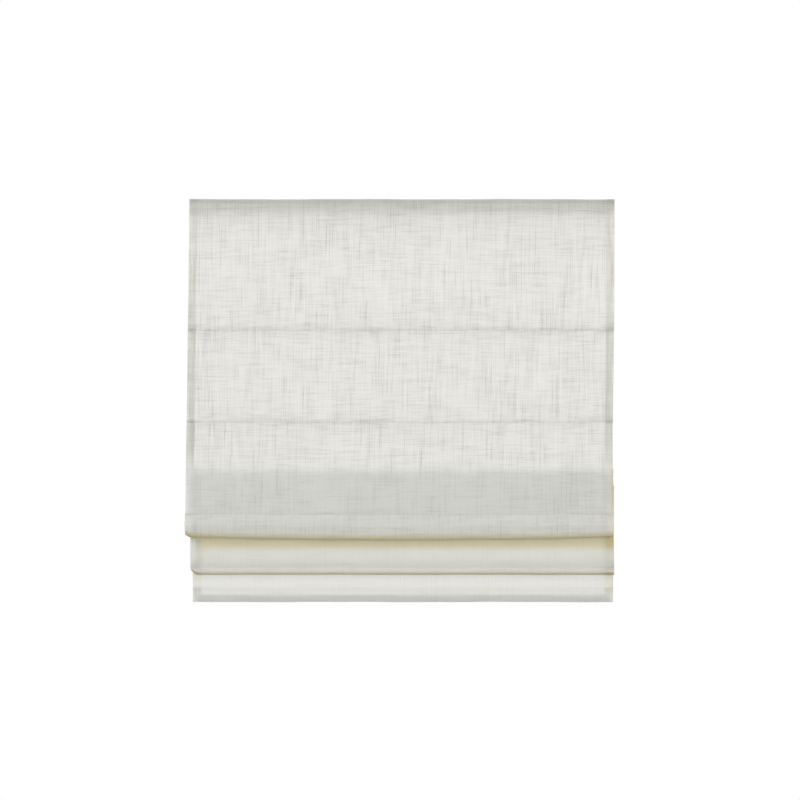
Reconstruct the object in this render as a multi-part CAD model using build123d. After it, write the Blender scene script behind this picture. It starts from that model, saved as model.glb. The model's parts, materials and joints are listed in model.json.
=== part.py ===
# Roman blind, partly raised, with two folds stacked above its bottom edge.
# Lengths are in mm. x runs along the blind, y points to the wall, z points up.
# The origin is the centre of the four wall screw holes, on the wall plane.

import os
from math import acos, cos, degrees, hypot, radians, sin, sqrt

from build123d import *

# The cloth. The first seam is measured down from the top edge, fold A from one pitch below the second seam,
# and fold B from fold A.
CLOTH_WIDTH = 1000.0
CLOTH_THICK = 0.7
SIDE_HEM = 19.0
HEM_THICK = 1.3
TOP_TURN = 26.0
TOP_RISE = 3.0
FIRST_SEAM_DROP = 309.0
SEAM_PITCH = 217.0
LAST_PANEL = 225.0
HEM_HEIGHT = 34.4
FOLD_A_HANG = 58.0
FOLD_B_SHOWS = 84.5
FOLD_A_RADIUS = 8.0
FOLD_B_RADIUS = 5.5
FOLD_A_LEAN = 14.0
LAYER_GAP = 1.8
LAYER_ROOM = 0.5
TUCK_DEPTH = 12.0
TUCK_LEAN = 60.0
TUCK_BEND = 5.0
TURN_BEND = 0.8
BULGE_SHARE = 0.7
TURN_SHARE = 0.96
SEAM_BEND = 1.2
EDGE_RUN = 3.0
STACK_STEP = 5.9

# The rods in the tucks, their tips and the bar in the bottom hem.
ROD_RADIUS = 2.0
ROD_INSET = 8.0
TIP_RADIUS = 2.6
TIP_LENGTH = 9.0
TIP_FLOOR = 2.0
TIP_ROOM = 0.3
PUSH_FIT = 0.05
BAR_THICK = 4.0
BAR_HEIGHT = 15.0
BAR_ROUND = 1.0
BAR_CAP_LENGTH = 6.0
BAR_CAP_WALL = 0.4

# The head rail, a channel with two lips turned in along its open top.
RAIL_DEPTH = 50.0
RAIL_HEIGHT = 35.0
RAIL_WALL = 1.4
RAIL_LIP = 7.0
RAIL_CORNER = 1.0
CAP_THICK = 2.5
CAP_INSET = 2.0
CAP_PLUG = 9.0
CAP_PLUG_WALL = 1.6
FIT_ROOM = 0.3
TAPE_THICK = 1.0
TAPE_HEIGHT = 20.0
TAPE_INSET = 22.0

# The two wall brackets, each with its middle in from one side of the cloth.
BRACKET_INSET = 100.0
BRACKET_WIDTH = 32.0
BRACKET_THICK = 1.6
BRACKET_BEND = 1.3
WALL_GAP = 9.0
SCREW_SPACING = 18.0
SCREW_HOLE_RADIUS = 2.25
CLAW_REACH = 4.5
CLAW_ROOM = 0.15
CATCH_WIDTH = 14.0
CATCH_RUN = 8.0

# The lift shaft, its three spools and their cradles. The outer cords lie in from the sides of the cloth.
CORD_INSET = 170.0
CORD_RADIUS = 0.6
SHAFT_SQUARE = 5.0
SHAFT_ROOM = 0.1
SHAFT_END = 14.0
DRUM_RADIUS = 8.3
FLANGE_RADIUS = 11.5
FLANGE_THICK = 1.5
JOURNAL_RADIUS = 5.0
JOURNAL_ROOM = 0.05
JOURNAL_STEP = 1.0
END_PLAY = 0.3
CRADLE_LENGTH = 54.0
CRADLE_FLOOR = 2.0
CRADLE_WALL = 3.0
CRADLE_CHEEK = 9.0
CRADLE_ROOM = 1.1
CRADLE_TOP = 3.0
WINDING_LENGTH = 17.5
BUSH_RADIUS = 3.8
BUSH_BORE = 1.5
BUSH_LIP = 1.2
BUSH_EDGE = 0.6

# The rings on the tucks, the cord ends and the spacer sleeves.
RING_RADIUS = 5.4
RING_WIRE = 1.1
RING_ROOM = 0.1
BEAD_RADIUS = 3.4
BEAD_TAPER = 2.2
BEAD_LENGTH = 9.0
SLEEVE_RADIUS = 2.0
SLEEVE_BORE = 0.9
CORD_ROOM = 0.15

# The spring motor: two drums, the flat spring between them, a case and a cover.
MOTOR_FROM_CORD = 165.0
MOTOR_LENGTH = 64.0
MOTOR_WALL = 1.6
MOTOR_HEIGHT = 28.6
COVER_THICK = 1.6
DRUM_PITCH = 16.4
OUTPUT_CORE = 6.5
OUTPUT_FLANGE = 9.8
STORAGE_CORE = 3.2
STORAGE_FLANGE = 5.9
STORAGE_PIN = 2.0
SPRING_ROOM = 0.2
OUTPUT_PACK = 2.1
STORAGE_PACK = 1.8
SPRING_STRIP = 0.4
CASE_ROOM = 1.2

# Sizes that follow from those above.
HALF_TURN = acos(-1)
half_width = CLOTH_WIDTH / 2
bracket_x = half_width - BRACKET_INSET
cord_x = half_width - CORD_INSET
motor_x = cord_x - MOTOR_FROM_CORD
rail_length = CLOTH_WIDTH - 2 * CAP_INSET - 2 * CAP_THICK
rail_top = RAIL_HEIGHT / 2
rail_floor = RAIL_WALL - rail_top
rail_back = -WALL_GAP
rail_front = rail_back - RAIL_DEPTH
bay_front = rail_front + RAIL_WALL + FIT_ROOM
bay_back = rail_back - RAIL_WALL - FIT_ROOM
lip_under = rail_top - RAIL_WALL
half_hem = HEM_THICK / 2
half_cloth = CLOTH_THICK / 2
half_gap = LAYER_GAP / 2
turn_y = rail_front - 2 * TAPE_THICK - half_hem
panel_y = turn_y - LAYER_GAP
cloth_top = rail_top + TOP_RISE
loop = TIP_RADIUS + TIP_ROOM + half_hem
ring_outer = RING_RADIUS + RING_WIRE
ring_back = loop + half_cloth + RING_ROOM + ring_outer
tuck_top = TUCK_DEPTH + 2 * loop

# Depths of the stacked layers, from the bottom panel forwards.
y_4 = panel_y + LAYER_GAP + loop
y_6 = y_4 + STACK_STEP
bottom_y = y_6 + half_gap
b_back = y_6 - half_gap
b_front = b_back - 2 * FOLD_B_RADIUS
b_lean = y_4 + half_gap - b_front
a_back = y_4 - half_gap - b_lean - LAYER_ROOM
a_front = a_back - 2 * FOLD_A_RADIUS
third_y = panel_y - FOLD_A_LEAN

# Heights of the seams. Those in the stack follow from the cloth's own length.
seam_1 = cloth_top - FIRST_SEAM_DROP
seam_2 = seam_1 - SEAM_PITCH
seam_3 = seam_2 - sqrt(SEAM_PITCH**2 - FOLD_A_LEAN**2)
edge_a = seam_2 - SEAM_PITCH - FOLD_A_HANG + half_hem
edge_b = edge_a - FOLD_B_SHOWS
arc_a = edge_a + FOLD_A_RADIUS
arc_b = edge_b + FOLD_B_RADIUS
front_run = hypot(a_front - third_y, seam_3 - arc_a)
rear_run = SEAM_PITCH - front_run - HALF_TURN * FOLD_A_RADIUS
seam_4 = arc_a + sqrt(rear_run**2 - (y_4 - half_gap - a_back) ** 2)
seam_5 = seam_4 - tuck_top - sqrt((SEAM_PITCH - tuck_top) ** 2 - b_lean**2)
seam_6 = arc_b + SEAM_PITCH - HALF_TURN * FOLD_B_RADIUS - (seam_5 - arc_b)
hem_seam = seam_6 - LAST_PANEL
cloth_bottom = hem_seam - HEM_HEIGHT

# The lift line, half way between the front and rear rings, and the shaft above it.
cord_y = (y_4 + y_6) / 2 + ring_back
winding_radius = DRUM_RADIUS + PUSH_FIT + CORD_RADIUS
shaft_y = cord_y + winding_radius
shaft_z = rail_floor + CRADLE_FLOOR + CRADLE_ROOM + FLANGE_RADIUS
stations = (-cord_x, 0, cord_x)
bore_square = SHAFT_SQUARE + 2 * SHAFT_ROOM
bearing = JOURNAL_RADIUS + JOURNAL_ROOM


def rod_along_x(radius, length, x, y, z):
    """Round bar along the blind with its middle at the given point."""
    return Pos(x, y, z) * Rot(0, 90, 0) * Cylinder(radius, length)


def post(radius, z_low, z_high, x, y):
    """Upright round bar between two heights."""
    return Pos(x, y, (z_low + z_high) / 2) * Cylinder(radius, z_high - z_low)


def block(x_span, y_span, z_span):
    """Box between two values on each axis."""
    middle = [(low + high) / 2 for low, high in (x_span, y_span, z_span)]
    return Pos(*middle) * Box(*[abs(high - low) for low, high in (x_span, y_span, z_span)])


def group(solids):
    """Several alike pieces that go into one file."""
    return Compound(children=list(solids))


def strip(corners, thickness, x_low, x_high):
    """Sheet of even thickness that follows rounded corners in the y z plane."""
    points = [point for point, radius in corners]
    radii = [radius for point, radius in corners[1:-1]]
    outline = FilletPolyline(*points, radius=radii).offset_2d(thickness / 2)
    return extrude(Plane.YZ.offset(x_low) * Face(outline), amount=x_high - x_low)


def on_tuck(y, z, along, across):
    """Point of a tuck that leans back from its seam, measured along and across the tuck."""
    lean = radians(TUCK_LEAN)
    side = across + half_gap
    return (y + along * sin(lean) + side * cos(lean), z + along * cos(lean) - side * sin(lean))


def tuck_back(y, z):
    """Corners of a tuck that leans back and up from its seam at height z."""
    crown = TUCK_DEPTH + loop
    bulge = BULGE_SHARE * TUCK_DEPTH
    return [
        ((y, z), TURN_BEND),
        (on_tuck(y, z, bulge, -loop), TUCK_BEND),
        (on_tuck(y, z, crown, -loop), TURN_SHARE * loop),
        (on_tuck(y, z, crown, loop), TURN_SHARE * loop),
        (on_tuck(y, z, bulge, loop), TUCK_BEND),
        ((y, z - LAYER_GAP / sin(radians(TUCK_LEAN))), SEAM_BEND),
    ]


def tuck_up(y, z):
    """Corners of a tuck that stands up close behind the cloth from its seam at height z."""
    rear = y + LAYER_GAP + 2 * loop
    crown = z + TUCK_DEPTH + loop
    turn = TURN_SHARE * half_gap
    return [
        ((y, z), turn),
        ((y + LAYER_GAP, z), turn),
        ((y + LAYER_GAP, crown), TURN_SHARE * loop),
        ((rear, crown), TURN_SHARE * loop),
        ((rear, z + BULGE_SHARE * TUCK_DEPTH), TUCK_BEND),
        ((y + 2 * LAYER_GAP, z + LAYER_GAP), SEAM_BEND),
        ((y + 2 * LAYER_GAP, z - LAYER_GAP), turn),
        ((y, z - LAYER_GAP), turn),
    ]


def tuck_down(y, z):
    """The same tuck hanging down behind the panel."""
    return [((py, 2 * z - pz), radius) for (py, pz), radius in reversed(tuck_up(y, z))]


def ridge(y, z):
    """Corners of a tuck at the top of the stack, with a layer of cloth hanging on each side."""
    crown = z + TUCK_DEPTH + loop
    bulge = z + BULGE_SHARE * TUCK_DEPTH
    return [
        ((y - half_gap, z), SEAM_BEND),
        ((y - loop, bulge), TUCK_BEND),
        ((y - loop, crown), TURN_SHARE * loop),
        ((y + loop, crown), TURN_SHARE * loop),
        ((y + loop, bulge), TUCK_BEND),
        ((y + half_gap, z), SEAM_BEND),
    ]


# The cloth, one sheet from its turned top to its bottom hem, thicker at the side hems.
top_z = cloth_top - half_hem
bottom_z = cloth_bottom + half_hem
pocket_y = bottom_y + HEM_THICK + BAR_THICK + 2 * BAR_CAP_WALL + 2 * TIP_ROOM
pocket_z = bottom_z + half_hem + BAR_HEIGHT + 2 * BAR_CAP_WALL + 2 * TIP_ROOM
cloth_corners = [
    ((turn_y, top_z - TOP_TURN), 0),
    ((turn_y, top_z), TURN_SHARE * half_gap),
    ((panel_y, top_z), TURN_SHARE * half_gap),
    *tuck_back(panel_y, seam_1),
    *tuck_back(panel_y, seam_2),
    *tuck_down(third_y, seam_3),
    ((a_front, arc_a + EDGE_RUN), TUCK_BEND),
    ((a_front, edge_a), TURN_SHARE * FOLD_A_RADIUS),
    ((a_back, edge_a), TURN_SHARE * FOLD_A_RADIUS),
    ((a_back, arc_a + EDGE_RUN), TUCK_BEND),
    *ridge(y_4, seam_4),
    ((b_front, seam_5 + tuck_top), TUCK_BEND),
    *tuck_up(b_front, seam_5),
    ((b_front, edge_b), TURN_SHARE * FOLD_B_RADIUS),
    ((b_back, edge_b), TURN_SHARE * FOLD_B_RADIUS),
    *ridge(y_6, seam_6),
    ((bottom_y, bottom_z), SEAM_BEND),
    ((pocket_y, bottom_z), SEAM_BEND),
    ((pocket_y, pocket_z), SEAM_BEND),
    ((bottom_y + LAYER_GAP, pocket_z + LAYER_GAP), SEAM_BEND),
    ((bottom_y + LAYER_GAP, hem_seam), 0),
]
hem_x = half_width - SIDE_HEM
cloth = strip(cloth_corners, CLOTH_THICK, -hem_x, hem_x)
cloth += strip(cloth_corners, HEM_THICK, -half_width, -hem_x)
cloth += strip(cloth_corners, HEM_THICK, hem_x, half_width)

# The head rail with a hole under each spool, its end caps and the two tapes.
half_wall = RAIL_WALL / 2
lip_z = rail_top - half_wall
rail_corners = [
    ((rail_front + RAIL_LIP - half_wall, lip_z), 0),
    ((rail_front + half_wall, lip_z), RAIL_CORNER),
    ((rail_front + half_wall, -lip_z), RAIL_CORNER),
    ((rail_back - half_wall, -lip_z), RAIL_CORNER),
    ((rail_back - half_wall, lip_z), RAIL_CORNER),
    ((rail_back - RAIL_LIP + half_wall, lip_z), 0),
]
head_rail = strip(rail_corners, RAIL_WALL, -rail_length / 2, rail_length / 2)
for x in stations:
    head_rail -= post(BUSH_RADIUS + FIT_ROOM, -RAIL_HEIGHT, 0, x, cord_y)


def end_cap(side):
    """Plate that closes one end of the rail, with a hollow plug inside the channel."""
    inner = side * rail_length / 2
    rail_mid = (rail_front + rail_back) / 2
    plate = block((inner, inner + side * CAP_THICK), (rail_front, rail_back), (-rail_top, rail_top))
    plate = fillet(plate.edges().filter_by(Axis.X), RAIL_CORNER + half_wall)
    plug_x = (inner - side * CAP_PLUG, inner)
    plug_z = (rail_floor + FIT_ROOM, lip_under - FIT_ROOM)
    wall = CAP_PLUG_WALL
    plug = block(plug_x, (bay_front, bay_back), plug_z)
    plug -= block(plug_x, (bay_front + wall, bay_back - wall), (plug_z[0] + wall, plug_z[1] - wall))
    return plate + plug


tape_top = rail_top - RAIL_WALL
tape_x = (TAPE_INSET - half_width, half_width - TAPE_INSET)
tape_z = (tape_top - TAPE_HEIGHT, tape_top)
hook_tape = block(tape_x, (rail_front - TAPE_THICK, rail_front), tape_z)
loop_tape = block(tape_x, (rail_front - 2 * TAPE_THICK, rail_front - TAPE_THICK), tape_z)


def wall_bracket(x):
    """Folded plate: back with two screw holes, top over the rail, claw and catch under its lips."""
    half = BRACKET_THICK / 2
    plate_z = rail_top + half
    foot_z = lip_under - CLAW_ROOM - half
    claw_y = rail_front + RAIL_LIP + CLAW_ROOM + half
    catch_y = rail_back - RAIL_LIP - CLAW_ROOM - half
    plate = [
        ((-half, -rail_top), 0),
        ((-half, plate_z), BRACKET_BEND),
        ((claw_y, plate_z), BRACKET_BEND),
        ((claw_y, foot_z), BRACKET_BEND),
        ((claw_y - CLAW_REACH, foot_z), 0),
    ]
    catch = [
        ((catch_y - CATCH_RUN, plate_z), 0),
        ((catch_y, plate_z), BRACKET_BEND),
        ((catch_y, foot_z), BRACKET_BEND),
        ((catch_y + CLAW_REACH, foot_z), 0),
    ]
    bracket = strip(plate, BRACKET_THICK, x - BRACKET_WIDTH / 2, x + BRACKET_WIDTH / 2)
    bracket += strip(catch, BRACKET_THICK, x - CATCH_WIDTH / 2, x + CATCH_WIDTH / 2)
    for z in (-SCREW_SPACING / 2, SCREW_SPACING / 2):
        bracket -= Pos(x, 0, z) * Rot(90, 0, 0) * Cylinder(SCREW_HOLE_RADIUS, 4 * BRACKET_THICK)
    return bracket


def cradle(x):
    """Seat for one spool: floor, two cheeks with snap bearings and a bush for the cord."""
    half = CRADLE_LENGTH / 2
    floor_z = rail_floor + CRADLE_FLOOR
    seat = block((x - half, x + half), (bay_front, bay_back), (rail_floor, floor_z))
    for side in (-1, 1):
        cheek_x = (x + side * half, x + side * (half - CRADLE_WALL))
        cheek_y = (shaft_y - CRADLE_CHEEK, shaft_y + CRADLE_CHEEK)
        seat += block(cheek_x, cheek_y, (floor_z, shaft_z + CRADLE_TOP))
    seat -= rod_along_x(bearing, 2 * CRADLE_LENGTH, x, shaft_y, shaft_z)
    bush = post(BUSH_RADIUS, -rail_top - BUSH_LIP, rail_floor, x, cord_y)
    seat += fillet(bush.edges().group_by(Axis.Z)[0], BUSH_EDGE)
    return seat - post(BUSH_BORE, -RAIL_HEIGHT, RAIL_HEIGHT, x, cord_y)


def spool(x):
    """Flanged drum that winds one cord, square in the bore, with a journal at each end."""
    inside = CRADLE_LENGTH - 2 * CRADLE_WALL - 2 * END_PLAY
    whole = CRADLE_LENGTH + 2 * JOURNAL_STEP
    turned = rod_along_x(DRUM_RADIUS, inside, x, shaft_y, shaft_z)
    turned += rod_along_x(JOURNAL_RADIUS, whole, x, shaft_y, shaft_z)
    for side in (-1, 1):
        flange_x = x + side * (inside - FLANGE_THICK) / 2
        turned += rod_along_x(FLANGE_RADIUS, FLANGE_THICK, flange_x, shaft_y, shaft_z)
    return turned - Pos(x, shaft_y, shaft_z) * Box(2 * whole, bore_square, bore_square)


def winding(x):
    """The turns of cord on one spool, as one sleeve."""
    middle = x - CORD_RADIUS + WINDING_LENGTH / 2
    inner = DRUM_RADIUS + PUSH_FIT
    sleeve = rod_along_x(inner + 2 * CORD_RADIUS, WINDING_LENGTH, middle, shaft_y, shaft_z)
    return sleeve - rod_along_x(inner, 2 * WINDING_LENGTH, middle, shaft_y, shaft_z)


shaft_length = 2 * (cord_x + CRADLE_LENGTH / 2 + SHAFT_END)
lift_shaft = Pos(0, shaft_y, shaft_z) * Box(shaft_length, SHAFT_SQUARE, SHAFT_SQUARE)

# Where the rods lie, each in its own tuck.
rod_places = [
    on_tuck(panel_y, seam_1, TUCK_DEPTH, 0),
    on_tuck(panel_y, seam_2, TUCK_DEPTH, 0),
    (third_y + LAYER_GAP + loop, seam_3 - TUCK_DEPTH),
    (y_4, seam_4 + TUCK_DEPTH),
    (b_front + LAYER_GAP + loop, seam_5 + TUCK_DEPTH),
    (y_6, seam_6 + TUCK_DEPTH),
]

# The rings, the cords through them, the beads at the cord ends and the spacer sleeves.
ring_z_4 = seam_4 + TUCK_DEPTH
ring_z_6 = seam_6 + TUCK_DEPTH
bead_top = ring_z_6 - RING_WIRE - CORD_ROOM
bead_end = bead_top - BEAD_LENGTH
cord_start = shaft_z - sqrt(4 * CORD_RADIUS * winding_radius)


def rings(y, z):
    """Three rings behind the tuck whose rod lies at the given place."""
    return group(Pos(x, y + ring_back, z) * Torus(RING_RADIUS, RING_WIRE) for x in stations)


def bead(x):
    """Cone at the end of one cord, under the lowest ring."""
    middle = (bead_top + bead_end) / 2
    cone = Pos(x, cord_y, middle) * Cone(BEAD_TAPER, BEAD_RADIUS, BEAD_LENGTH)
    return cone - post(CORD_RADIUS + CORD_ROOM, bead_end, bead_top, x, cord_y)


def spacer(x):
    """Tube on the cord that keeps the two lowest rings apart."""
    low = ring_z_6 + RING_WIRE + CORD_ROOM
    high = ring_z_4 - RING_WIRE - CORD_ROOM
    return post(SLEEVE_RADIUS, low, high, x, cord_y) - post(SLEEVE_BORE, low, high, x, cord_y)


def lift_cord(x):
    """Cord from its spool straight down to its bead."""
    return post(CORD_RADIUS, bead_end, cord_start, x, cord_y)


# The rods and the bottom bar.
rod_length = CLOTH_WIDTH - 2 * ROD_INSET - 2 * TIP_FLOOR


def rod(y, z):
    """Stiff rod in one tuck."""
    return rod_along_x(ROD_RADIUS, rod_length, 0, y, z)


def rod_tips(y, z):
    """Caps on both ends of one rod."""
    tips = []
    for side in (-1, 1):
        end = side * (half_width - ROD_INSET)
        tip = rod_along_x(TIP_RADIUS, TIP_LENGTH, end - side * TIP_LENGTH / 2, y, z)
        tips.append(tip - rod_along_x(ROD_RADIUS + PUSH_FIT, rod_length, 0, y, z))
    return group(tips)


bar_y = (bottom_y + pocket_y) / 2
bar_z = bottom_z + half_hem + TIP_ROOM + BAR_CAP_WALL + BAR_HEIGHT / 2
bottom_bar = Pos(0, bar_y, bar_z) * Box(rod_length, BAR_THICK, BAR_HEIGHT)
bottom_bar = fillet(bottom_bar.edges().filter_by(Axis.X), BAR_ROUND)


def bar_cap(side):
    """Cap on one end of the bottom bar."""
    end = half_width - ROD_INSET
    wide = 2 * BAR_CAP_WALL
    cap = Box(BAR_CAP_LENGTH, BAR_THICK + wide, BAR_HEIGHT + wide)
    cap = Pos(side * (end - BAR_CAP_LENGTH / 2), bar_y, bar_z) * cap
    cap = fillet(cap.edges().filter_by(Axis.X), BAR_ROUND)
    fit = 2 * PUSH_FIT
    return cap - Pos(0, bar_y, bar_z) * Box(rod_length, BAR_THICK + fit, BAR_HEIGHT + fit)


# The spring motor.
motor_low = motor_x - MOTOR_LENGTH / 2
motor_high = motor_x + MOTOR_LENGTH / 2
case_front = shaft_y - OUTPUT_FLANGE - CASE_ROOM - MOTOR_WALL
case_top = rail_floor + MOTOR_HEIGHT
storage_y = shaft_y + DRUM_PITCH
motor_inside = MOTOR_LENGTH - 2 * MOTOR_WALL - 2 * END_PLAY
spring_length = motor_inside - 2 * FLANGE_THICK - 2 * SPRING_ROOM
pin_bore = STORAGE_PIN + JOURNAL_ROOM
slots = ((shaft_y, bearing, JOURNAL_RADIUS), (storage_y, pin_bore, STORAGE_PIN))

motor_case = block((motor_low, motor_high), (case_front, bay_back), (rail_floor, case_top))
motor_case -= block(
    (motor_low + MOTOR_WALL, motor_high - MOTOR_WALL),
    (case_front + MOTOR_WALL, bay_back - MOTOR_WALL),
    (rail_floor + MOTOR_WALL, 2 * case_top),
)
for y, bore, pin in slots:
    motor_case -= rod_along_x(bore, 2 * MOTOR_LENGTH, motor_x, y, shaft_z)
    slot_x = (motor_low - MOTOR_WALL, motor_high + MOTOR_WALL)
    motor_case -= block(slot_x, (y - bore, y + bore), (shaft_z, 2 * case_top))

motor_cover = block((motor_low, motor_high), (case_front, bay_back), (case_top, case_top + COVER_THICK))
for y, bore, pin in slots:
    for side in (-1, 1):
        tab_x = (motor_x + side * MOTOR_LENGTH / 2, motor_x + side * (MOTOR_LENGTH / 2 - MOTOR_WALL))
        tab_y = (y - bore + PUSH_FIT, y + bore - PUSH_FIT)
        motor_cover += block(tab_x, tab_y, (shaft_z + pin + FIT_ROOM, case_top))


def motor_drum(y, core, flange, pin):
    """Flanged drum of the spring motor with a pin at each end."""
    whole = MOTOR_LENGTH + 2 * JOURNAL_STEP
    turned = rod_along_x(core, motor_inside, motor_x, y, shaft_z)
    turned += rod_along_x(pin, whole, motor_x, y, shaft_z)
    for side in (-1, 1):
        flange_x = motor_x + side * (motor_inside - FLANGE_THICK) / 2
        turned += rod_along_x(flange, FLANGE_THICK, flange_x, y, shaft_z)
    return turned


output_drum = motor_drum(shaft_y, OUTPUT_CORE, OUTPUT_FLANGE, JOURNAL_RADIUS)
output_drum -= Pos(motor_x, shaft_y, shaft_z) * Box(2 * MOTOR_LENGTH, bore_square, bore_square)
storage_drum = motor_drum(storage_y, STORAGE_CORE, STORAGE_FLANGE, STORAGE_PIN)


def coil(y, inner, pack):
    """The turns of the flat spring on one drum, as one sleeve."""
    sleeve = rod_along_x(inner + pack, spring_length, motor_x, y, shaft_z)
    return sleeve - rod_along_x(inner, 2 * spring_length, motor_x, y, shaft_z)


# The strip of spring leaves the top of one coil and runs on under the other.
strip_out = OUTPUT_CORE + SPRING_ROOM + OUTPUT_PACK - SPRING_STRIP / 2
strip_in = STORAGE_CORE + SPRING_ROOM + STORAGE_PACK - SPRING_STRIP / 2
cross = acos((strip_out + strip_in) / DRUM_PITCH)
strip_y = (shaft_y + strip_out * cos(cross) + storage_y - strip_in * cos(cross)) / 2
strip_z = shaft_z + (strip_out - strip_in) * sin(cross) / 2
strip_run = DRUM_PITCH * sin(cross)
bridge = Box(spring_length, strip_run, SPRING_STRIP)
bridge = Pos(motor_x, strip_y, strip_z) * Rot(degrees(cross) - 90, 0, 0) * bridge
drive_spring = coil(shaft_y, OUTPUT_CORE + SPRING_ROOM, OUTPUT_PACK)
drive_spring += coil(storage_y, STORAGE_CORE + SPRING_ROOM, STORAGE_PACK)
drive_spring += bridge

nodes = {
    "cloth": cloth,
    "head_rail": head_rail,
    "rail_cap_left": end_cap(-1),
    "rail_cap_right": end_cap(1),
    "hook_tape": hook_tape,
    "loop_tape": loop_tape,
    "wall_bracket_left": wall_bracket(-bracket_x),
    "wall_bracket_right": wall_bracket(bracket_x),
    "lift_shaft": lift_shaft,
    "cord_windings": group(winding(x) for x in stations),
    "motor_case": motor_case,
    "motor_cover": motor_cover,
    "output_drum": output_drum,
    "storage_drum": storage_drum,
    "drive_spring": drive_spring,
    "rings_2": rings(*rod_places[1]),
    "rings_4": rings(*rod_places[3]),
    "rings_6": rings(*rod_places[5]),
    "cord_beads": group(bead(x) for x in stations),
    "cord_spacers": group(spacer(x) for x in stations),
    "bottom_bar": bottom_bar,
    "bottom_bar_caps": group(bar_cap(side) for side in (-1, 1)),
}
for place, x in zip(("left", "middle", "right"), stations):
    nodes["spool_cradle_" + place] = cradle(x)
    nodes["cord_spool_" + place] = spool(x)
    nodes["lift_cord_" + place] = lift_cord(x)
for number, (y, z) in enumerate(rod_places, start=1):
    nodes[f"rod_{number}"] = rod(y, z)
    nodes[f"rod_tips_{number}"] = rod_tips(y, z)

os.makedirs("parts", exist_ok=True)
for name, shape in nodes.items():
    export_step(shape, f"parts/{name}.step")
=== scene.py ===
import json
from math import atan2, cos, hypot, pi, radians, sin, tan

import bmesh
import bpy
import numpy as np
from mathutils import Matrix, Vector


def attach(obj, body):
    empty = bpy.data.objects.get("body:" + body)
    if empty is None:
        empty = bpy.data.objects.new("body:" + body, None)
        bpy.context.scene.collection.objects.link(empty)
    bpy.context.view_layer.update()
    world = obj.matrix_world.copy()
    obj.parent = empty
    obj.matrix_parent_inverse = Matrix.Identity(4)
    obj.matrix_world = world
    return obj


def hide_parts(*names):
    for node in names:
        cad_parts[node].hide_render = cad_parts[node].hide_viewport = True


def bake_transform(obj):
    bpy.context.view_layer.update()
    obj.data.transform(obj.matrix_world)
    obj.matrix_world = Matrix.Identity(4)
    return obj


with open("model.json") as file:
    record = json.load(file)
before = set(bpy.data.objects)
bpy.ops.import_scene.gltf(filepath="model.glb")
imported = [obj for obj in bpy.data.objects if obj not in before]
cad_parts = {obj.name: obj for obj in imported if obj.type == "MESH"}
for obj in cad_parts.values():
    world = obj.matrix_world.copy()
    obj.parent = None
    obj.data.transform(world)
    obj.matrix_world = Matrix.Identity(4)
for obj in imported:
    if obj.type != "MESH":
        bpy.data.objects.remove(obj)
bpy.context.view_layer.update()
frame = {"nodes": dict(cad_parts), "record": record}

MM = 0.001

# The blind's own sizes in mm. y points to the wall and z up.
HALF_WIDTH = 500.0
SIDE_HEM = 19.0
CLOTH_THICK = 0.45
EDGE_BEND = 0.35
TOP_Z, TOP_TURN = 19.85, 26.0
TURN_Y, PANEL_Y, THIRD_Y = -61.65, -63.45, -77.45
LAYER_GAP, SEAM_GAP = 1.8, 0.75
SEAM_1, SEAM_2, SEAM_3 = -288.5, -505.5, -722.048
SEAM_4, SEAM_5, SEAM_6 = -630.223, -847.103, -670.876
Y_4, Y_6 = -58.1, -52.2
A_FRONT, A_BACK, EDGE_A = -82.4, -66.4, -779.85
B_FRONT, B_BACK, EDGE_B = -64.1, -53.1, -864.35
CREASE_Z = -747.0
BOTTOM_Y, BOTTOM_Z, HEM_SEAM = -51.3, -929.626, -895.876
POCKET_Y, POCKET_Z = -44.6, -912.576

# The front of fold A hangs further back than in the part, so that it clears the first rod when raised.
HANG_Y = -70.4

# A tuck and the loop that it makes round its rod, in mm, with shares of its depth and of the loop.
LOOP = 3.55
TUCK_DEPTH = 12.0
TUCK_LEAN = radians(60)
CROWN_BEND_SHARE = 0.96
LEAN_BESIDE_SHARE, LEAN_SWELL_SHARE, LEAN_NECK_SHARE = 0.91, 0.93, 0.54
FLUSH_FRONT_SHARE, FLUSH_REAR_SHARE = 0.92, 0.7
RIDGE_LOOP_SHARE, RIDGE_BULGE_SHARE = 0.85, 0.7
FLUSH_GAP, NECK_SHIFT, THIRD_SET_BACK = 1.3, 0.4, 3.9

# How tightly the cloth bends, in mm.
SEAM_BEND, LOW_BEND = 0.36, 0.6
TOP_BEND, HEM_BEND, RIDGE_BEND, CREASE_BEND = 0.86, 1.2, 1.2, 1.5
NECK_BEND, FLUSH_BEND, POCKET_BEND, BULGE_BEND = 2.0, 3.0, 4.0, 5.0

# The folds: how far in mm the points of their outlines stand off the lines above, with their bends.
A_HANG_UP, A_HANG_BEND, A_REACH_UP, A_REACH_BEND = 22, 300, 20, 40
A_LIP_BACK, A_LIP_UP, A_LIP_BEND = 1.2, 15, 14
A_TOE_BACK, A_TOE_BEND, A_HEEL_AHEAD, A_HEEL_BEND = 5.5, 5, 5.1, 4.5
A_RISE, A_RISE_BEND = 11, 5
B_SHADE_BACK, B_SHADE_DOWN, B_SHADE_BEND = 1.3, 8, 40
B_REACH_UP, B_REACH_BEND = 23, 5
B_LIP_BACK, B_LIP_UP, B_LIP_BEND = 0.4, 9, 8
B_TOE_BACK, B_TOE_BEND, B_MIDDLE_BACK, B_HEEL_BEND = 4, 2.5, 0.6, 4.6

# The view from the front and the floor below, in mm.
CAMERA_X, CAMERA_Z, CAMERA_BACK = -5.0, -452.5, 2900.0
LENS, SENSOR = 55.46, 36.0
FLOOR_Z, FLOOR_REACH = -1750.0, 6000

# How strong the light is all round, and how much is added straight ahead.
LIGHT_ROUND, LIGHT_AHEAD = 0.82, 0.86


# The line that the cloth follows from its turned top to its bottom hem, seen from the side.

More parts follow.
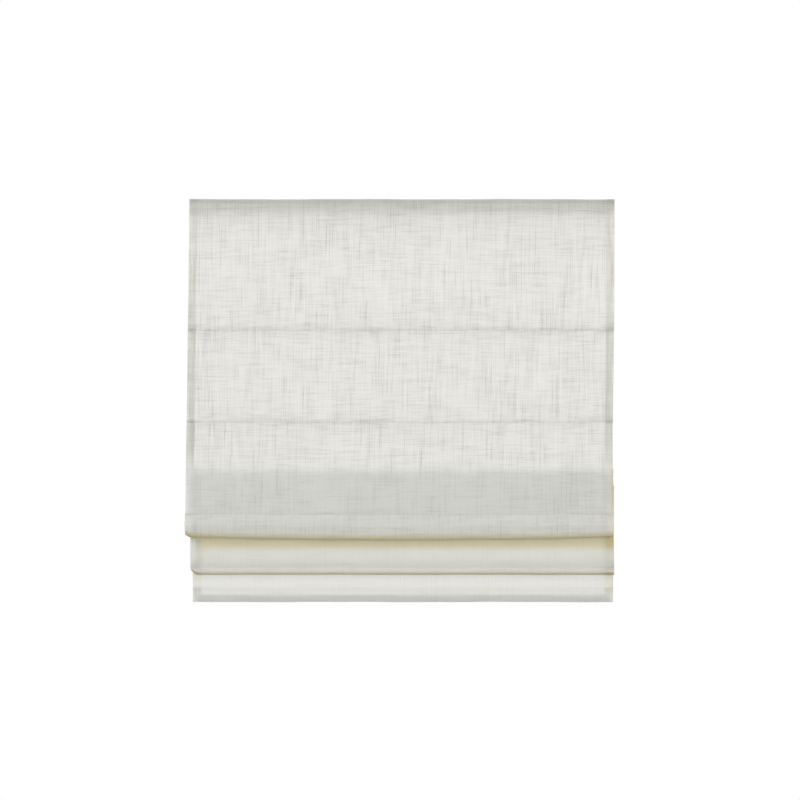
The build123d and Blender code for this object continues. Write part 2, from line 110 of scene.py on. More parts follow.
ROW_STEP, ROW_TURN, ROW_LEAST = 8.0, radians(20), 0.05
TINY = 1e-9


class Line:
    """A line of straight runs with rounded corners, measured along its length."""

    def __init__(self):
        self.corners, self.marks = [], {}

    def go(self, y, z, bend=0.0, mark=None):
        """Adds a corner, rounded by bend."""
        if mark:
            self.marks[mark] = len(self.corners)
        self.corners.append((y, z, bend))

    def lay(self):
        """Works out the runs and bends as (start length, start point, direction, turn rate, length)."""
        self.pieces, self.reach = [], []
        length, here = 0.0, self.corners[0][:2]
        for i in range(1, len(self.corners)):
            y, z, bend = self.corners[i]
            heading = atan2(z - here[1], y - here[0])
            run = hypot(y - here[0], z - here[1])
            turn = cut = 0.0
            if i + 1 < len(self.corners):
                after = self.corners[i + 1]
                turn = atan2(after[1] - z, after[0] - y) - heading
                turn = (turn + pi) % (2 * pi) - pi
                cut = bend * tan(abs(turn) / 2)
            self.pieces.append((length, here, heading, 0.0, run - cut))
            length += run - cut
            here = (y - cut * cos(heading), z - cut * sin(heading))
            arc = bend * abs(turn)
            self.reach.append(length + arc / 2)
            if arc:
                self.pieces.append((length, here, heading, turn / arc, arc))
                length += arc
                here = (y + cut * cos(heading + turn), z + cut * sin(heading + turn))
        self.length = length

    def at(self, mark):
        """Length along the line to the middle of a marked bend."""
        return self.reach[self.marks[mark] - 1]

    def point(self, length):
        """Place (y, z) at a length along the line, and the direction there."""
        start, (y, z), heading, rate, _ = next(
            piece for piece in reversed(self.pieces) if length >= piece[0] - TINY
        )
        gone = length - start
        if not rate:
            return y + gone * cos(heading), z + gone * sin(heading), heading
        now = heading + rate * gone
        return y + (sin(now) - sin(heading)) / rate, z + (cos(heading) - cos(now)) / rate, now

    def rows(self, start, end):
        """Lengths at which a strip of cloth from start to end has its rows, closer in the bends."""
        found = []
        for first, _, _, rate, run in self.pieces:
            count = max(3, round(abs(rate * run) / ROW_TURN)) if rate else max(1, round(run / ROW_STEP))
            found += [first + run * i / count for i in range(count + 1)]
        rows = [start]
        for length in sorted(found):
            if length - rows[-1] > ROW_LEAST and length < end - ROW_LEAST:
                rows.append(length)
        return rows + [end]


def tuck_back(line, z, name):
    """A tuck that leans back and up from its seam."""

    def on_tuck(along, across):
        side = across + LAYER_GAP / 2
        return (
            PANEL_Y + along * sin(TUCK_LEAN) + side * cos(TUCK_LEAN),
            z + along * cos(TUCK_LEAN) - side * sin(TUCK_LEAN),
        )

    crown, beside = TUCK_DEPTH + LOOP, LEAN_BESIDE_SHARE * TUCK_DEPTH
    swell = LEAN_SWELL_SHARE * LOOP
    line.go(PANEL_Y, z, SEAM_BEND, name + "_high")
    line.go(*on_tuck(beside, -swell), POCKET_BEND)
    line.go(*on_tuck(crown, -swell), CROWN_BEND_SHARE * swell)
    line.go(*on_tuck(crown, swell), CROWN_BEND_SHARE * swell)
    line.go(*on_tuck(beside, swell), NECK_BEND)
    line.go(*on_tuck(LEAN_NECK_SHARE * TUCK_DEPTH, -NECK_SHIFT), NECK_BEND)
    line.go(PANEL_Y, z - SEAM_GAP / sin(TUCK_LEAN), LOW_BEND, name + "_low")


def tuck_flush(line, y, z, up, name, set_back=0.0):
    """A tuck close behind the cloth, standing up from its seam or hanging down from it.

    The seam can lie further back than the cloth that passes the rod.
    """
    seam, front, rear = y + set_back, y + FLUSH_GAP, y + LAYER_GAP + 2 * LOOP
    crown, crown_bend = TUCK_DEPTH + LOOP, CROWN_BEND_SHARE * LOOP
    steps = [
        (seam, 0, SEAM_BEND),
        (seam + SEAM_GAP, 0, SEAM_BEND),
        (front, FLUSH_FRONT_SHARE * TUCK_DEPTH, FLUSH_BEND),
        (front, crown, crown_bend),
        (rear, crown, crown_bend),
        (rear, FLUSH_REAR_SHARE * TUCK_DEPTH, POCKET_BEND),
        (seam + 2 * SEAM_GAP, SEAM_GAP, LOW_BEND),
        (seam + 2 * SEAM_GAP, -SEAM_GAP, SEAM_BEND),
        (seam, -SEAM_GAP, SEAM_BEND),
    ]
    line.marks[name] = len(line.corners)
    for place, rise, bend in steps if up else reversed(steps):
        line.go(place, z + rise if up else z - rise, bend)


def ridge(line, y, z, name):
    """A tuck at the top of the stack, with cloth hanging on both sides."""
    half, loop = LAYER_GAP / 2, RIDGE_LOOP_SHARE * LOOP
    bulge, crown = z + RIDGE_BULGE_SHARE * TUCK_DEPTH, z + TUCK_DEPTH + loop
    line.go(y - half, z, RIDGE_BEND, name)
    line.go(y - loop, bulge, BULGE_BEND)
    line.go(y - loop, crown, CROWN_BEND_SHARE * loop)
    line.go(y + loop, crown, CROWN_BEND_SHARE * loop)
    line.go(y + loop, bulge, BULGE_BEND)
    line.go(y + half, z, RIDGE_BEND)


def hanging_cloth():
    """The whole line: top, two leaning tucks, fold A, fold B and the hem round the bar."""
    line = Line()
    line.go(TURN_Y, TOP_Z - TOP_TURN)
    line.go(TURN_Y, TOP_Z, TOP_BEND)
    line.go(PANEL_Y, TOP_Z, TOP_BEND, "top")
    tuck_back(line, SEAM_1, "seam_1")
    tuck_back(line, SEAM_2, "seam_2")

    # Fold A hangs over the stack in a slow bend, and is pressed flat at its crease.
    line.go(HANG_Y, SEAM_4 + A_HANG_UP, A_HANG_BEND)
    line.go(HANG_Y, SEAM_3 + A_REACH_UP, A_REACH_BEND)
    tuck_flush(line, THIRD_Y, SEAM_3, up=False, name="seam_3", set_back=THIRD_SET_BACK)
    line.go(A_FRONT, CREASE_Z, CREASE_BEND, "crease")
    line.go(A_FRONT + A_LIP_BACK, EDGE_A + A_LIP_UP, A_LIP_BEND)
    line.go(A_FRONT + A_TOE_BACK, EDGE_A, A_TOE_BEND)
    line.go(A_BACK - A_HEEL_AHEAD, EDGE_A, mark="edge_a")
    line.go(A_BACK, EDGE_A, A_HEEL_BEND)
    line.go(A_BACK, EDGE_A + A_RISE, A_RISE_BEND)
    ridge(line, Y_4, SEAM_4, "seam_4")

    # Fold B lies closer, with the fifth rod low on its front.
    line.go(B_FRONT + B_SHADE_BACK, EDGE_A - B_SHADE_DOWN, B_SHADE_BEND, "shade_b")
    line.go(B_FRONT, SEAM_5 + B_REACH_UP, B_REACH_BEND)
    tuck_flush(line, B_FRONT, SEAM_5, up=True, name="seam_5")
    line.go(B_FRONT + B_LIP_BACK, EDGE_B + B_LIP_UP, B_LIP_BEND)
    line.go(B_FRONT + B_TOE_BACK, EDGE_B, B_TOE_BEND)
    line.go((B_FRONT + B_BACK) / 2 + B_MIDDLE_BACK, EDGE_B, mark="edge_b")
    line.go(B_BACK, EDGE_B, B_HEEL_BEND)
    ridge(line, Y_6, SEAM_6, "seam_6")

    line.go(BOTTOM_Y, BOTTOM_Z, HEM_BEND, "bottom")
    line.go(POCKET_Y, BOTTOM_Z, HEM_BEND)
    line.go(POCKET_Y, POCKET_Z, HEM_BEND)
    line.go(BOTTOM_Y + LAYER_GAP, POCKET_Z + LAYER_GAP, HEM_BEND)
    line.go(BOTTOM_Y + LAYER_GAP, HEM_SEAM)
    line.lay()
    return line


fall = hanging_cloth()
HEM_LINE = fall.at("bottom") - (HEM_SEAM - BOTTOM_Z)
TOP_LINE_PAST = 1.5
TOP_LINE = fall.at("top") + TOP_LINE_PAST


# How the cloth departs from a straight sheet: its sides wander, its folds sag and its corners lift.

# Length along the cloth, and how far the left and right edges stand off their straight lines.
SIDE_ABOVE_CREASE = 100
SIDES = [
    (0, 0, 0),
    (fall.at("seam_1_high"), -4, -1),
    (fall.at("seam_2_high"), -6.5, -4),
    (fall.at("crease") - SIDE_ABOVE_CREASE, -8.5, -7),
    (fall.at("crease"), -9, -5),
    (fall.at("edge_a"), -8, -5),
    (fall.at("seam_4"), -1.5, -3),
    (fall.at("edge_b"), 3, -1),
    (fall.at("seam_6"), 3.5, 0),
    (fall.length, 6, -2),
]

# Waves of slack: height, then how far across and along the cloth in mm, and a shift.
SLACK = [(0.35, 61, 83, 0), (0.25, 23, -47, 1.3)]
FRONT_SHIFT = 0.2

# Tucks pull the cloth taut round them.
TUCKS = ["seam_1_high", "seam_2_high", "seam_3", "seam_4", "seam_5", "seam_6"]
TAUT_PAST, TAUT_REACH = 20, 45

# Fold A's ends stand higher than its middle, and the folds' corners are drawn up.
SAG_ENDS, SAG_MIDDLE, SAG_POWER = 7.5, 1.8, 2.4
SAG_REACH_A, SAG_REACH_B = 45, 20
CORNER_LEFT, CORNER_RIGHT, CORNER_POWER = 14, 12, 1.5
LEFT_RISE_A, LEFT_RISE_B, RIGHT_RISE_A = 6, 11, 2
CREASE_RISE, CREASE_WAVE, CREASE_SHIFT, CREASE_REACH = 0.7, 90, 0.6, 14

# Columns of faces across half the cloth, in the turn of its edge and in the hem.
HALF_COLUMNS, TURN_COLUMNS, HEM_COLUMNS = 65, 4, 3


def near(value, centre, spread):
    """1 at the centre, falling smoothly to nothing."""
    return float(np.exp(-(((value - centre) / spread) ** 2)))


def side_hem(flat_x):
    """Turns the side hems to the back in a tight bend: place across, and distance back."""
    brink = HALF_WIDTH - EDGE_BEND
    past = abs(flat_x) - brink
    x, back = abs(flat_x), 0.0
    if past > pi * EDGE_BEND:
        x, back = brink - (past - pi * EDGE_BEND), 2 * EDGE_BEND
    elif past > 0:
        x = brink + EDGE_BEND * sin(past / EDGE_BEND)
        back = EDGE_BEND * (1 - cos(past / EDGE_BEND))
    return (x if flat_x > 0 else -x), back


def sagging(x, length):
    """How far a point is drawn up by the sag of the folds and the lift of their corners."""
    at_a = near(length, fall.at("edge_a"), SAG_REACH_A)
    at_b = near(length, fall.at("edge_b"), SAG_REACH_B)
    left = max(0.0, 1 - (x + HALF_WIDTH) / CORNER_LEFT) ** CORNER_POWER
    right = max(0.0, 1 - (HALF_WIDTH - x) / CORNER_RIGHT) ** CORNER_POWER
    lift = at_a * (SAG_ENDS * abs(x / HALF_WIDTH) ** SAG_POWER - SAG_MIDDLE)
    lift += at_a * (LEFT_RISE_A * left + RIGHT_RISE_A * right) + at_b * LEFT_RISE_B * left
    wave = CREASE_RISE * sin(x / CREASE_WAVE + CREASE_SHIFT)
    return lift + wave * near(length, fall.at("crease"), CREASE_REACH)


def drape(flat_x, length):
    """Where a point of the flat cloth hangs, in metres."""
    y, z, heading = fall.point(length)
    x, off = side_hem(flat_x)
    off -= FRONT_SHIFT

    taut = max(near(length, fall.at(seam) + TAUT_PAST, TAUT_REACH) for seam in TUCKS)
    for height, wide, long, shift in SLACK:
        off += (1 - taut) * height * sin(x / wide + length / long + shift)

    lengths, lefts, rights = zip(*SIDES)
    left, right = np.interp(length, lengths, lefts), np.interp(length, lengths, rights)
    drawn = left + (right - left) * (x + HALF_WIDTH) / (2 * HALF_WIDTH)
    lift = sagging(x, length)
    return Vector((x + drawn, y - off * sin(heading), z + off * cos(heading) + lift)) * MM


def finished(name, bm, finish):
    """Turns a worked mesh into a piece with one material."""
    mesh = bpy.data.meshes.new(name)
    bm.to_mesh(mesh)
    bm.free()
    mesh.materials.append(finish)
    piece = bpy.data.objects.new(name, mesh)
    bpy.context.scene.collection.objects.link(piece)
    return piece


def cloth_strip(name, start, end):
    """One run of the cloth across the whole width, between two lengths along it."""
    rows = fall.rows(start, end)
    brink = HALF_WIDTH - EDGE_BEND
    turned = brink + pi * EDGE_BEND
    wide = HALF_WIDTH + SIDE_HEM + pi * EDGE_BEND / 2
    half = [
        *np.linspace(0, brink, HALF_COLUMNS + 1)[1:],
        *np.linspace(brink, turned, TURN_COLUMNS + 1)[1:],
        *np.linspace(turned, wide, HEM_COLUMNS + 1)[1:],
    ]
    columns = [-place for place in reversed(half)] + [0.0] + half
    bm = bmesh.new()
    bmesh.ops.create_grid(bm, x_segments=len(columns) - 1, y_segments=len(rows) - 1, size=0.5)
    uv = bm.loops.layers.uv.new("cloth")
    flat = {}
    for vert in bm.verts:
        column = round((vert.co.x + 0.5) * (len(columns) - 1))
        row = round((vert.co.y + 0.5) * (len(rows) - 1))
        flat[vert] = (columns[column], rows[row])
    for face in bm.faces:
        face.smooth = True
        for loop in face.loops:
            loop[uv].uv = [value * MM for value in flat[loop.vert]]
    for vert, place in flat.items():
        vert.co = drape(*place)
    piece = finished(name, bm, linen)
    wall = piece.modifiers.new("thickness", "SOLIDIFY")
    wall.thickness, wall.offset = CLOTH_THICK * MM, 0
    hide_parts("cloth")
    return piece


# Nodes for the materials.


class Wire:
    """A value that flows between nodes, with ordinary maths on it."""

    def __init__(self, tree, socket):
        self.tree, self.socket = tree, socket

    def maths(self, operation, first, second=0.0):
        return node(self.tree, "ShaderNodeMath", {0: first, 1: second}, operation=operation)

    def out(self, name):
        """Another output of the same node."""
        return Wire(self.tree, self.socket.node.outputs[name])

    def __add__(self, other):
        return self.maths("ADD", self, other)

    def __radd__(self, other):
        return self.maths("ADD", other, self)

    def __sub__(self, other):
        return self.maths("SUBTRACT", self, other)

    def __rsub__(self, other):
        return self.maths("SUBTRACT", other, self)

    def __mul__(self, other):
        return self.maths("MULTIPLY", self, other)

    def __rmul__(self, other):
        return self.maths("MULTIPLY", other, self)

    def __truediv__(self, other):
        return self.maths("DIVIDE", self, other)

    def __mod__(self, other):
        return self.maths("FLOORED_MODULO", self, other)

    def __abs__(self):
        return self.maths("ABSOLUTE", self)

    def wave(self):
        return self.maths("SINE", self)

    def larger(self, other):
        return self.maths("MAXIMUM", self, other)

    def over(self, low, high):
        """0 below low and 1 above high, with a smooth step between."""
        inputs = {"Value": self, "From Min": low, "From Max": high}
        return node(self.tree, "ShaderNodeMapRange", inputs, interpolation_type="SMOOTHSTEP")


def node(tree, kind, inputs=None, output=0, **settings):
    """Adds a node with its settings, sets or links its inputs, and gives one of its outputs."""
    made = tree.nodes.new(kind)
    for name, value in settings.items():
        setattr(made, name, value)
    for key, value in (inputs or {}).items():
        if isinstance(value, Wire):
            tree.links.new(value.socket, made.inputs[key])
        else:
            made.inputs[key].default_value = value
    return Wire(tree, made.outputs[output]) if made.outputs else None


def blank(name):
    """A new material with no nodes in it."""
    material = bpy.data.materials.new(name)
    material.use_nodes = True
    material.node_tree.nodes.clear()
    return material, material.node_tree


def blend_in(tree, share, ground, other):
    """A plain colour laid over another one, plain or varying."""
    ground = ground if isinstance(ground, Wire) else (*ground, 1)
    return node(tree, "ShaderNodeMix", {0: share, 6: ground, 7: (*other, 1)}, output=2, data_type="RGBA")


def speckle(tree, place, scale, detail=2.0):
    """Plain noise, with so many grains to each unit of the place given."""
    return node(tree, "ShaderNodeTexNoise", {"Vector": place, "Scale": scale, "Detail": detail})


def relief(tree, height, depth):
    """Bump from a height, with the depth in mm of a height of 1."""
    return node(tree, "ShaderNodeBump", {"Height": height, "Distance": depth * MM, "Strength": 1.0})


def show(tree, shader):
    node(tree, "ShaderNodeOutputMaterial", {"Surface": shader})


# The linen.

# Streaks of thicker yarn: length and width in mm, and a seed.
WEFT, WARP = (75, 2.3, 1.3), (120, 2.3, 7.9)
FINE_WEFT, FINE_WARP = (40, 1.6, 4.2), (70, 1.6, 2.6)

# How far each row of streaks is shifted from the last, and how many clouds and patches go to the metre.
STREAK_SHIFT = 0.2
CLOUDS, PATCHES = 9.0, 22.0

# Stitches: how far inside the hem, their pitch, and half their width and length up to where they end.
STITCH_IN, STITCH_PITCH = 2.0, 3.2
SIDE_STITCH, FOOT_STITCH, STITCH_RUN = (0.25, 0.6), (0.3, 0.7), (1.15, 1.45)
WEAVE_PITCH = 0.9

# Marks along the cloth: how far in mm from its middle each is full, and where it ends.
YELLOW_EDGE_A, YELLOW_EDGE_B, YELLOW_UNDER_A, YELLOW_HEM = (3, 24), (2, 15), (5, 24), (2, 15)
GREY_TOP, GREY_BOTTOM, GREY_STACK, GREY_TUCK = (3, 12), (1, 4), (24, 60), (12, 21)
DARK_EDGE, DARK_BEFORE_A, DARK_BEFORE_B = (1, 5), 7, 4
YELLOW_HEM_UP, STACK_PAST, HEM_STEP = 27, 20, 0.4

# Where marks that go on down the cloth begin or end, in mm past the named place.
DOUBLED_END, FOOT_END, YELLOW_END = (33, 36.5), (5, 15), (0, 10)
COOL_START, HEMS_END, RIGHT_START, LEFT_START = (85, 115), (55, 115), (70, 130), (0, 8)
HEMS_START, STACK_START = (-200, 0), (0, 20)

# Where marks begin across the cloth, in mm from its middle.
UNDER_A_FROM, RIGHT_BRINK, LEFT_SIDE = (-496, -472), (495.5, 498.5), (300, -300)


def slubs(tree, flat, across, along):
    """The uneven yarns of both directions: above 0 where they are thick, below 0 where they are thin."""

    def yarns(run, over, length, width, seed):
        row = over / (width * MM)
        where = {"X": run / (length * MM) + row * STREAK_SHIFT, "Y": row, "Z": seed}
        return speckle(tree, node(tree, "ShaderNodeCombineXYZ", where), 1.0, 1.5)

    weft, warp = yarns(across, along, *WEFT), yarns(along, across, *WARP)
    fine = yarns(across, along, *FINE_WEFT) + yarns(along, across, *FINE_WARP) - 1.0
    thick = weft.over(0.53, 0.72) * 0.8 + warp.over(0.52, 0.70)
    thin = weft.over(0.47, 0.3) + warp.over(0.47, 0.3)
    cloudy = speckle(tree, flat, CLOUDS) - 0.5
    patchy = speckle(tree, flat, PATCHES).over(0.3, 0.65)
    return thick * 0.36 - thin * 0.22 - fine * (patchy * 0.45 + 0.8) + cloudy * 0.12


def hem_stitches(across, along, hem_x):
    """Running stitches along both side hems and across the bottom hem."""

    def within(value, full, none):
        return 1 - abs(value).over(full * MM, none * MM)

    pitch = STITCH_PITCH * MM
    beside = within(abs(across) - hem_x, *SIDE_STITCH)
    below = within(along - HEM_LINE * MM, *FOOT_STITCH)
    down = within((along % pitch) - pitch / 2, *STITCH_RUN)
    over = within((across % pitch) - pitch / 2, *STITCH_RUN)
    return beside * down + below * over


def slub_linen():
    """Slubbed linen that lets light through, with stitched hems and painted shade at folds, tucks and hems.
    """
    material, tree = blank("slub_linen")
    flat = node(tree, "ShaderNodeUVMap", uv_map="cloth")
    across = node(tree, "ShaderNodeSeparateXYZ", {0: flat})
    along = across.out("Y")
    hem_x = (HALF_WIDTH - SIDE_HEM + STITCH_IN) * MM
    first, third = fall.at("seam_1_high"), fall.at("seam_2_low")

    def past(place, start, end):
        """0 before and 1 after a place along the cloth."""
        return along.over((place + start) * MM, (place + end) * MM)

    def band(middle, full, none):
        """1 near a place along the cloth and 0 further off."""
        return 1 - abs(along - middle * MM).over(full * MM, none * MM)

    def from_side(start, end):
        """0 to one side of a place across the cloth and 1 to the other."""
        return across.over(start * MM, end * MM)

    stack = past(fall.at("shade_b"), *STACK_START)
    # Painted light: from fold B down the grain is painted fainter.
    grain = slubs(tree, flat, across, along) * (1 - stack * 0.3)
    stitch = hem_stitches(across, along, hem_x)

    # The weave itself, too fine to see from across a room.
    threads = 2 * pi / (WEAVE_PITCH * MM)
    weave = (across * threads).wave() * (along * threads).wave()

    # Painted warm shade: the fold edges and the cloth just under fold A are painted yellow, with a fainter
    # yellow band at the hem and along the right brink.
    right = from_side(*RIGHT_BRINK) * past(third, *RIGHT_START) * (1 - past(HEM_LINE, *YELLOW_END))
    painted_warm_shade = band(fall.at("edge_a"), *YELLOW_EDGE_A) * 1.15
    painted_warm_shade = painted_warm_shade + band(fall.at("edge_b"), *YELLOW_EDGE_B)
    painted_warm_shade = painted_warm_shade + band(fall.at("shade_b"), *YELLOW_UNDER_A) * from_side(*UNDER_A_FROM) * 0.9
    painted_warm_shade = painted_warm_shade + band(HEM_LINE - YELLOW_HEM_UP, *YELLOW_HEM) * 0.2 + right * 0.45

    # Painted grey shade where cloth lies on cloth: side hems, tucks, top line and band, bottom hem, top of
    # the stack.
    hem = abs(across).over(hem_x - HEM_STEP * MM, hem_x + HEM_STEP * MM)
    outward = abs(across).over(hem_x, HALF_WIDTH * MM)
    top = band(TOP_LINE, *GREY_TOP)
    top_band_shade = 1 - past(TOP_LINE, *DOUBLED_END)
    foot_shade = past(HEM_LINE, -HEM_STEP, HEM_STEP) * (1 - past(HEM_LINE, *FOOT_END)) * 0.26
    foot_shade = foot_shade + band(fall.at("bottom"), *GREY_BOTTOM) * 0.35
    stack_shade = band(fall.at("seam_4") + STACK_PAST, *GREY_STACK)
    tuck_shade = 0.0
    for seam, shown in (("seam_1", 1.0), ("seam_2", 0.5)):
        middle = (fall.at(seam + "_high") + fall.at(seam + "_low")) / 2
        tuck_shade = tuck_shade + band(middle, *GREY_TUCK) * shown
    hem_shade_strength = past(third, *LEFT_START) * from_side(*LEFT_SIDE) * 0.35 + past(first, *HEMS_START) * 0.2 + 0.15
    hem_shade = hem * (1 - past(third, *HEMS_END)) * hem_shade_strength * (1.35 - outward * 0.8)
    hem_shade = hem_shade * (1 - top) * (1 - top_band_shade * 0.8) * (1 - tuck_shade * 0.8)
    tuck_shade = tuck_shade * (1 - hem * 0.8)
    painted_grey_shade = hem_shade + top * 0.65 + top_band_shade * 0.16 + foot_shade + stack_shade * 0.9 + tuck_shade * 0.6

    # Painted shade: the turned edges of the folds are painted darkest.
    crease_shade = band(fall.at("edge_a") - DARK_BEFORE_A, *DARK_EDGE) * 0.35
    crease_shade = crease_shade + band(fall.at("edge_b") - DARK_BEFORE_B, *DARK_EDGE) * 0.7

    # Painted light: from fold A's front down the cloth is painted cooler and a little lighter, and from fold
    # B down lighter again.
    painted_cool_light = past(third, *COOL_START)
    depth = grain * 0.8 + 0.1 - painted_cool_light * 0.05 - stack * 0.06
    colour = blend_in(tree, depth, (1.0, 0.992, 0.958), (0.10, 0.10, 0.09))
    # Painted light and shade over the grain: cooler below fold A, grey shade, warm shade and the darkest
    # crease shade.
    colour = blend_in(tree, painted_cool_light * 0.2, colour, (0.88, 1.0, 1.0))
    colour = blend_in(tree, painted_grey_shade, colour, (0.56, 0.60, 0.55))
    colour = blend_in(tree, painted_warm_shade * 0.8, colour, (0.72, 0.60, 0.24))
    colour = blend_in(tree, crease_shade, colour, (0.30, 0.27, 0.15))
    inputs = {
        "Base Color": colour,
        "Roughness": 0.92,
        "Specular IOR Level": 0.12,
        "Normal": relief(tree, weave * 0.12 + grain * 0.35 + stitch * 0.8, 0.22),
    }
    cloth = node(tree, "ShaderNodeBsdfPrincipled", inputs)
    through = node(tree, "ShaderNodeBsdfTranslucent", {"Color": (0.997, 0.99, 0.972, 1)})
    share = 0.66 + stack * 0.08 - grain * 0.05 - stitch * 0.1 - tuck_shade * 0.2 - stack_shade * 0.05
    show(tree, node(tree, "ShaderNodeMixShader", {0: share, 1: cloth, 2: through}))
    return material


# The hard finishes, the cord and the tape.

MOTTLE, TAPE_MOTTLE, TAPE_PILE = 35.0, 60.0, 1400.0
BRAID_TURN, BRAID_RISE = 2600.0, 2400.0
DRAWN_LENGTHWAYS, DRAWN_ROUND = (0.02, 1, 1), (1, 0.1, 0.1)


def plain_finish(name, colour, darker, roughness, grains, depth, metal=0.0, stretch=(1, 1, 1), coat=0.0):
    """A hard finish with fine grain, faint mottling and a little unevenness in its gloss."""
    material, tree = blank(name)
    place = node(tree, "ShaderNodeTexCoord", output="Object")
    drawn = node(tree, "ShaderNodeMapping", {"Vector": place, "Scale": stretch})
    grain = speckle(tree, drawn, grains, 3.0)
    mottle = speckle(tree, place, MOTTLE)
    share = grain * 0.6 + mottle * 0.4
    inputs = {
        "Base Color": blend_in(tree, share.over(0.35, 0.7), colour, darker),
        "Roughness": mottle * 0.16 + (roughness - 0.08),
        "Metallic": metal,
        "Coat Weight": coat,
        "Normal": relief(tree, grain, depth),
    }
    show(tree, node(tree, "ShaderNodeBsdfPrincipled", inputs))
    return material


def braided_cord():
    """White braided cord: two sets of strands that cross."""
    material, tree = blank("braided_cord")
    place = node(tree, "ShaderNodeTexCoord", output="Object")
    side = node(tree, "ShaderNodeSeparateXYZ", {0: place})
    turn = (side + side.out("Y")) * BRAID_TURN
    rise = side.out("Z") * BRAID_RISE
    strands = ((rise + turn).wave() * (rise - turn).wave()) * 0.5 + 0.5
    inputs = {
        "Base Color": blend_in(tree, strands, (0.72, 0.72, 0.69), (0.86, 0.86, 0.83)),
        "Roughness": 0.8,
        "Normal": relief(tree, strands, 0.12),
    }
    show(tree, node(tree, "ShaderNodeBsdfPrincipled", inputs))
    return material


def woven_tape():
    """White tape with a short dense pile."""
    material, tree = blank("woven_tape")
    place = node(tree, "ShaderNodeTexCoord", output="Object")
    pile = node(tree, "ShaderNodeTexVoronoi", {"Vector": place, "Scale": TAPE_PILE})
    share = pile * 0.7 + speckle(tree, place, TAPE_MOTTLE) * 0.3
    inputs = {
        "Base Color": blend_in(tree, share, (0.80, 0.80, 0.78), (0.62, 0.62, 0.60)),
        "Roughness": 0.95,
        "Normal": relief(tree, pile, 0.3),
    }
    show(tree, node(tree, "ShaderNodeBsdfPrincipled", inputs))
    return material


linen, cord_braid = slub_linen(), braided_cord()

# Each slot's finish: colour, darker grain, roughness, grains to the metre, depth in mm, and metal if any.
FINISHES = {
    "white_plastic": plain_finish(
        "moulded_white_plastic", (0.83, 0.83, 0.81), (0.78, 0.78, 0.76), 0.42, 900, 0.02
    ),
    "clear_plastic": plain_finish(
        "milky_plastic", (0.80, 0.82, 0.82), (0.73, 0.75, 0.75), 0.25, 500, 0.01, coat=0.3
    ),
    "rail": plain_finish(
        "painted_rail", (0.80, 0.80, 0.79), (0.76, 0.76, 0.75), 0.38, 1500, 0.015, coat=0.15
    ),
    "bar": plain_finish(
        "drawn_bar", (0.66, 0.67, 0.68), (0.56, 0.57, 0.58), 0.36, 700, 0.01, 0.9, DRAWN_LENGTHWAYS
    ),
    "zinc": plain_finish("zinc_plate", (0.58, 0.60, 0.62), (0.44, 0.46, 0.49), 0.34, 160, 0.01, 1.0),
    "spring_steel": plain_finish(
        "blue_spring_steel", (0.26, 0.27, 0.30), (0.17, 0.18, 0.21), 0.3, 600, 0.01, 1.0, DRAWN_ROUND
    ),
    "rod": plain_finish(
        "glass_fibre_rod", (0.85, 0.84, 0.78), (0.75, 0.74, 0.67), 0.45, 2500, 0.02, stretch=DRAWN_LENGTHWAYS
    ),
    "cord": cord_braid,
    "tape": woven_tape(),
    "linen": linen,
}
for part in frame["record"]["subparts"]:
    mesh = frame["nodes"][part["node"]].data
    mesh.materials.clear()
    mesh.materials.append(FINISHES[part["material_slot"]])


# The cloth in seven runs: four are attached to the head or the rod that carries them, and the three between
# are left unattached.

top_panel = cloth_strip("cloth_top_panel", 0, fall.at("seam_1_low"))
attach(top_panel, "head")

second_panel = cloth_strip(
    "cloth_second_panel", fall.at("seam_1_low"), fall.at("seam_2_high")
)
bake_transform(second_panel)

fold_a_front = cloth_strip(
    "cloth_fold_a_front", fall.at("seam_2_high"), fall.at("edge_a")
)
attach(fold_a_front, "second_rod")

fold_a_back = cloth_strip("cloth_fold_a_back", fall.at("edge_a"), fall.at("seam_4"))
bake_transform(fold_a_back)

fold_b_front = cloth_strip(
    "cloth_fold_b_front", fall.at("seam_4"), fall.at("edge_b")
)
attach(fold_b_front, "fourth_rod")

fold_b_back = cloth_strip("cloth_fold_b_back", fall.at("edge_b"), fall.at("seam_6"))
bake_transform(fold_b_back)

bottom_panel = cloth_strip("cloth_bottom_panel", fall.at("seam_6"), fall.length)
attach(bottom_panel, "sixth_rod")


# The lift cords, in spans between the rings that they run through.

CORD_Y, CORD_RADIUS, CORD_STEP = -44.65, 0.6, 12
CORD_SIDES, CORD_LEAST_STEPS = 12, 6
CORD_TOP, RAIL_FOOT, RING_2, RING_4, RING_6, CORD_END = -6.13, -24.0, -500.28, -618.22, -658.88, -669.13
CORD_PLACES = {"left": -330.0, "middle": 0.0, "right": 330.0}

# Name, the bodies above and below, the ends of the span, and where it passes from one body to the other.
CORD_SPANS = [
    ("upper", "head", "second_rod", CORD_TOP, RING_2, RAIL_FOOT, RING_2),
    ("middle", "second_rod", "fourth_rod", RING_2, RING_4, RING_2, RING_4),
    ("lower", "fourth_rod", "sixth_rod", RING_4, CORD_END, RING_4, RING_6),
]


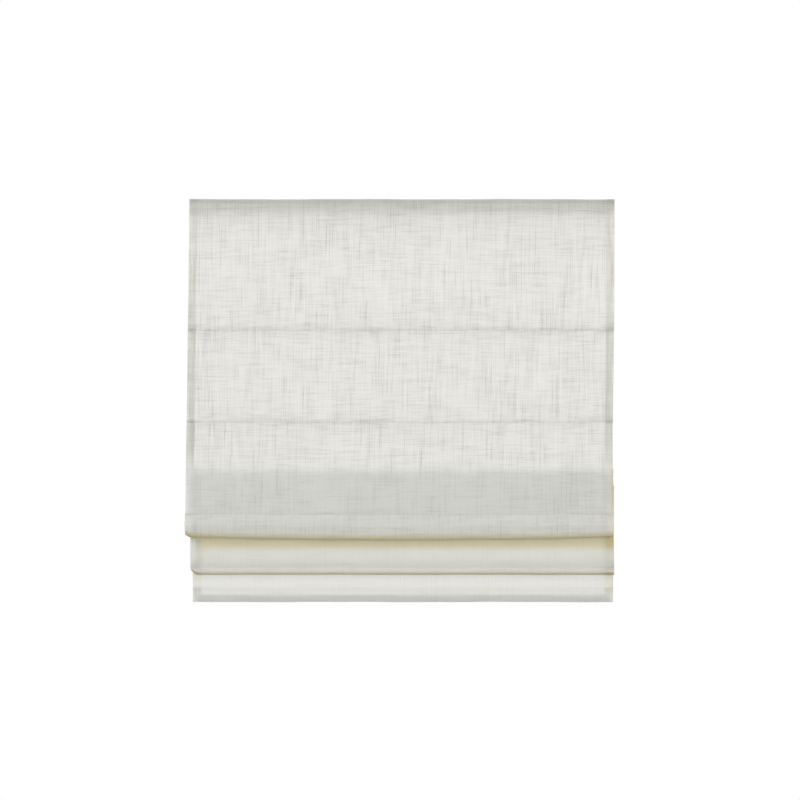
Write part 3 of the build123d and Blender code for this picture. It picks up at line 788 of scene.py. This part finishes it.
def cord_span(name, x, top, bottom):
    """One straight run of cord."""
    bm = bmesh.new()
    ring = bmesh.ops.create_circle(bm, segments=CORD_SIDES, radius=CORD_RADIUS * MM, cap_ends=False)
    bmesh.ops.translate(bm, verts=ring["verts"], vec=Vector((x, CORD_Y, top)) * MM)
    edges, steps = list(bm.edges), max(CORD_LEAST_STEPS, round((top - bottom) / CORD_STEP))
    for _ in range(steps):
        made = bmesh.ops.extrude_edge_only(bm, edges=edges)["geom"]
        verts = [item for item in made if isinstance(item, bmesh.types.BMVert)]
        edges = [item for item in made if isinstance(item, bmesh.types.BMEdge)]
        bmesh.ops.translate(bm, verts=verts, vec=(0, 0, (bottom - top) / steps * MM))
    bmesh.ops.holes_fill(bm, edges=[edge for edge in bm.edges if edge.is_boundary], sides=CORD_SIDES)
    bmesh.ops.recalc_face_normals(bm, faces=bm.faces)
    for face in bm.faces:
        face.smooth = len(face.verts) == 4
    return finished(name, bm, cord_braid)


for place, x in CORD_PLACES.items():
    for part, upper, lower, top, bottom, start, end in CORD_SPANS:
        span = cord_span(f"cord_{place}_{part}", x, top, bottom)
        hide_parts("lift_cord_" + place)
        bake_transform(span)


# The plain studio: white all round, a pale floor well below and soft light from the front.

scene = bpy.context.scene
scene.view_settings.view_transform = "Standard"


def looked_at(tree):
    """1 for what the lens sees, straight, in metal or through glass, but not for light through cloth."""
    straight = node(tree, "ShaderNodeLightPath", output="Is Camera Ray")
    through = straight.out("Is Transmission Ray") * (1 - straight.out("Is Diffuse Ray"))
    return straight.larger(straight.out("Is Glossy Ray")).larger(through)


def white_studio():
    """White to look at, with light that is stronger from the front."""
    world = bpy.data.worlds.new("white_studio")
    world.use_nodes = True
    sky = world.node_tree
    sky.nodes.clear()
    toward = node(sky, "ShaderNodeTexCoord", output="Generated")
    ahead = (node(sky, "ShaderNodeSeparateXYZ", {0: toward}, output="Y") * -1.0).larger(0.0)
    light = LIGHT_ROUND + ahead * ahead * LIGHT_AHEAD
    white = node(sky, "ShaderNodeBackground", {"Color": (1, 1, 1, 1), "Strength": 1.0})
    soft = node(sky, "ShaderNodeBackground", {"Color": (1, 1, 1, 1), "Strength": light})
    shown = node(sky, "ShaderNodeMixShader", {0: looked_at(sky), 1: soft, 2: white})
    node(sky, "ShaderNodeOutputWorld", {"Surface": shown})
    return world


def pale_floor():
    """White to look at, and pale grey to the light that falls on it."""
    material, tree = blank("pale_floor")
    pale = node(tree, "ShaderNodeBsdfDiffuse", {"Color": (0.58, 0.58, 0.58, 1)})
    bright = node(tree, "ShaderNodeEmission", {"Color": (1, 1, 1, 1), "Strength": 1.0})
    show(tree, node(tree, "ShaderNodeMixShader", {0: looked_at(tree), 1: pale, 2: bright}))
    return material


scene.world = white_studio()

bm = bmesh.new()
bmesh.ops.create_grid(bm, x_segments=1, y_segments=1, size=FLOOR_REACH * MM)
bmesh.ops.translate(bm, verts=bm.verts, vec=(0, 0, FLOOR_Z * MM))
finished("floor", bm, pale_floor())

lens = bpy.data.cameras.new("front_view")
lens.sensor_width, lens.lens = SENSOR, LENS
camera = bpy.data.objects.new("front_view", lens)
camera.location = Vector((CAMERA_X, PANEL_Y - CAMERA_BACK, CAMERA_Z)) * MM
camera.rotation_euler = (radians(90), 0, 0)
scene.collection.objects.link(camera)
scene.camera = camera
